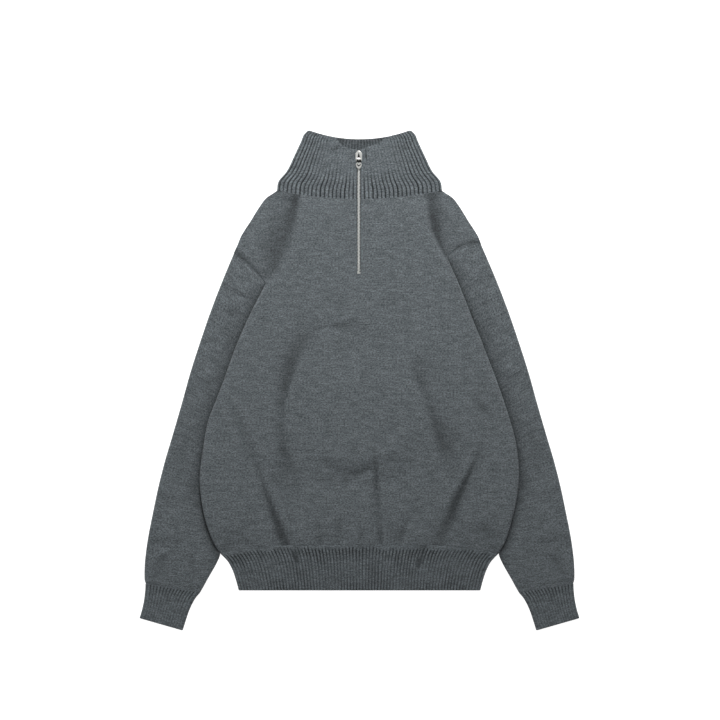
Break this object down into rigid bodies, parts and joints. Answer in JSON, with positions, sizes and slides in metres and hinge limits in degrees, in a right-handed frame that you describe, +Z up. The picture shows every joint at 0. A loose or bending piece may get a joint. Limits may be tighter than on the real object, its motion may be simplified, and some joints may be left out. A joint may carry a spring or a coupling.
{
  "type": "quarter zip sweater",
  "caption": "Knitted long-sleeved pullover laid flat, with a ribbed funnel collar, a short metal zip from chest to collar top, and ribbed cuffs and hem.",
  "frame": {"origin": "middle of the garment's outline, on the surface that it lies on", "axes": "+X to the right seen from above with the collar at the top, +Y from hem to collar, +Z up off the surface, out of the front panel"},
  "size_m": [0.75, 0.848, 0.0134],
  "materials": {
    "jersey": "plain knit, heathered wool",
    "rib": "rib knit, heathered wool",
    "tape": "woven tape",
    "zip_metal": "polished"
  },
  "bodies": {
    "garment": {"front": "jersey", "back": "jersey", "sleeve_left": "jersey", "sleeve_right": "jersey", "cuff_left": "rib", "cuff_right": "rib", "hem_front": "rib", "hem_back": "rib", "collar": "rib", "zip_tape_left": "tape", "zip_tape_right": "tape", "zip_chain": "zip_metal", "zip_stop": "zip_metal", "zip_slider": "zip_metal"},
    "pull_tab": {"zip_pull": "zip_metal"}
  },
  "joints": [
    {"name": "pull_swing", "type": "hinge", "parent": "garment", "child": "pull_tab", "pos_m": [-0.0012, 0.3735, 0.011], "axis": [-1, 0, 0], "range_deg": [0, 150]}
  ]
}
